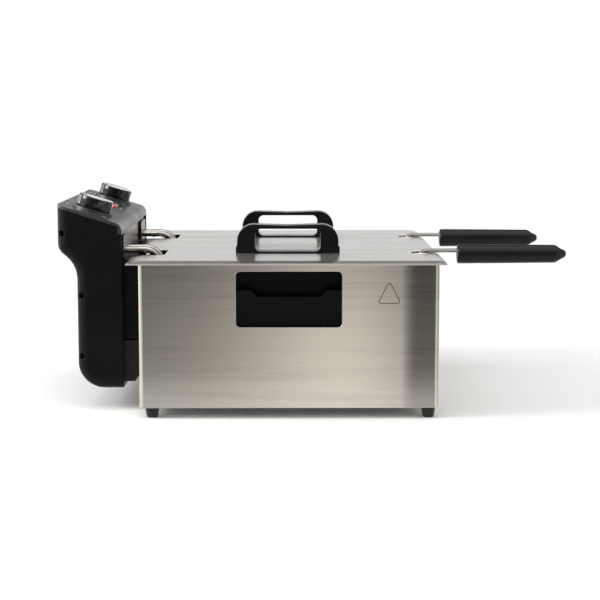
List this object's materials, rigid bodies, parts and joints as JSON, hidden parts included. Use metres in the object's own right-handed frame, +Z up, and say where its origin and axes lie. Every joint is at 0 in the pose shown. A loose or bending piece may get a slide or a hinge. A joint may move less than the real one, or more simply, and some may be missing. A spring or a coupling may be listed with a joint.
{
  "type": "deep fryer",
  "caption": "Double-tank electric deep fryer with a lift-off control head, baskets with pull-out handles, and lids with arched handles.",
  "frame": {"origin": "centre of the whole object in plan, on the surface the feet stand on", "axes": "+X from the control head towards the basket grips, +Y towards the far tank, +Z up"},
  "size_m": [0.5252, 0.394, 0.2221],
  "materials": {
    "casing_steel": "brushed stainless steel, grain along the casing",
    "lid_steel": "finely brushed stainless steel",
    "plate_steel": "plain stainless sheet",
    "base_zinc": "zinc-plated sheet",
    "fastener": "plated screw steel",
    "tank_enamel": "black enamel",
    "basket_wire": "plated wire",
    "chrome_wire": "bright plated wire",
    "element_tube": "bright drawn stainless tube",
    "head_plastic": "fine-grained black moulding",
    "panel_plastic": "satin black moulding",
    "spacer_plastic": "dark grey moulding",
    "recess_plastic": "black moulding",
    "handle_plastic": "satin black moulding",
    "grip_plastic": "satin black moulding",
    "knob_plastic": "gloss black moulding",
    "ceramic_plastic": "pale heat-proof moulding",
    "rubber_black": "moulded black rubber",
    "shaft_brass": "turned brass",
    "lamp_red": "clear red lens",
    "lamp_green": "clear green lens"
  },
  "bodies": {
    "housing": {"housing_shell": "casing_steel", "base_plate": "base_zinc", "tank_support_bar": "base_zinc", "foot_rear_near": "rubber_black", "foot_rear_far": "rubber_black", "foot_front_near": "rubber_black", "foot_front_far": "rubber_black", "foot_screws": "fastener", "base_screws": "fastener", "side_handle_near": "recess_plastic", "side_handle_far": "recess_plastic", "side_handle_screws": "fastener", "guide_rail_near": "base_zinc", "guide_rail_far": "base_zinc", "guide_rail_screws": "fastener"},
    "tank_near": {"tank_near": "tank_enamel"},
    "tank_far": {"tank_far": "tank_enamel"},
    "head": {"head_cover": "head_plastic", "head_side_screws": "fastener", "control_panel": "panel_plastic", "head_front_plate": "plate_steel", "slide_block": "head_plastic", "lower_spacer": "spacer_plastic", "slide_block_screws": "fastener", "power_lamp": "lamp_red", "ready_lamp": "lamp_green", "thermal_cutout": "ceramic_plastic", "safety_switch": "ceramic_plastic", "terminal_block": "ceramic_plastic", "cord_gland": "rubber_black", "thermostat_near": "ceramic_plastic", "thermostat_far": "ceramic_plastic", "heating_element_near": "element_tube", "heating_element_far": "element_tube", "element_plate_near": "plate_steel", "element_plate_far": "plate_steel", "thermostat_probe_near": "element_tube", "thermostat_probe_far": "element_tube"},
    "reset_button": {"reset_button": "knob_plastic"},
    "safety_plunger": {"safety_plunger": "ceramic_plastic"},
    "knob_near": {"knob_near": "knob_plastic", "knob_shaft_near": "shaft_brass"},
    "basket_near": {"basket_near": "basket_wire", "basket_bracket_near": "plate_steel"},
    "lid_near": {"lid_near": "lid_steel", "lid_handle_near": "handle_plastic", "lid_handle_screws_near": "fastener"},
    "handle_near": {"handle_wires_near": "chrome_wire", "grip_near": "grip_plastic", "grip_screws_near": "fastener"},
    "knob_far": {"knob_far": "knob_plastic", "knob_shaft_far": "shaft_brass"},
    "basket_far": {"basket_far": "basket_wire", "basket_bracket_far": "plate_steel"},
    "lid_far": {"lid_far": "lid_steel", "lid_handle_far": "handle_plastic", "lid_handle_screws_far": "fastener"},
    "handle_far": {"handle_wires_far": "chrome_wire", "grip_far": "grip_plastic", "grip_screws_far": "fastener"}
  },
  "joints": [
    {"name": "tank_near_lift", "type": "slide", "parent": "housing", "child": "tank_near", "axis": [0, 0, 1], "range_m": [0, 0.13]},
    {"name": "tank_far_lift", "type": "slide", "parent": "housing", "child": "tank_far", "axis": [0, 0, 1], "range_m": [0, 0.13]},
    {"name": "head_lift", "type": "slide", "parent": "tank_near", "child": "head", "axis": [0, 0, 1], "range_m": [0, 0.12]},
    {"name": "reset_press", "type": "slide", "parent": "head", "child": "reset_button", "axis": [-1, 0, 0], "range_m": [0, 0.0015], "stiffness_N_per_m": 400},
    {"name": "plunger_press", "type": "slide", "parent": "head", "child": "safety_plunger", "axis": [-1, 0, 0], "range_m": [0, 0.002], "stiffness_N_per_m": 300},
    {"name": "knob_near_turn", "type": "hinge", "parent": "head", "child": "knob_near", "pos_m": [-0.22966, -0.0985, 0.20539], "axis": [-0.3007, 0, -0.9537], "range_deg": [0, 270]},
    {"name": "basket_near_lift", "type": "slide", "parent": "head", "child": "basket_near", "axis": [0, 0, 1], "range_m": [0, 0.11]},
    {"name": "lid_near_lift", "type": "slide", "parent": "basket_near", "child": "lid_near", "axis": [0, 0, 1], "range_m": [0, 0.05]},
    {"name": "handle_near_pull", "type": "slide", "parent": "lid_near", "child": "handle_near", "axis": [0, 0, 1], "range_m": [0, 0.055]},
    {"name": "knob_far_turn", "type": "hinge", "parent": "head", "child": "knob_far", "pos_m": [-0.22966, 0.0985, 0.20539], "axis": [-0.3007, 0, -0.9537], "range_deg": [0, 270]},
    {"name": "basket_far_lift", "type": "slide", "parent": "head", "child": "basket_far", "axis": [0, 0, 1], "range_m": [0, 0.11]},
    {"name": "lid_far_lift", "type": "slide", "parent": "basket_far", "child": "lid_far", "axis": [0, 0, 1], "range_m": [0, 0.05]},
    {"name": "handle_far_pull", "type": "slide", "parent": "lid_far", "child": "handle_far", "axis": [0, 0, 1], "range_m": [0, 0.055]}
  ],
  "couplings": [
    {"joint": "tank_far_lift", "follows": "tank_near_lift", "ratio": 1}
  ]
}
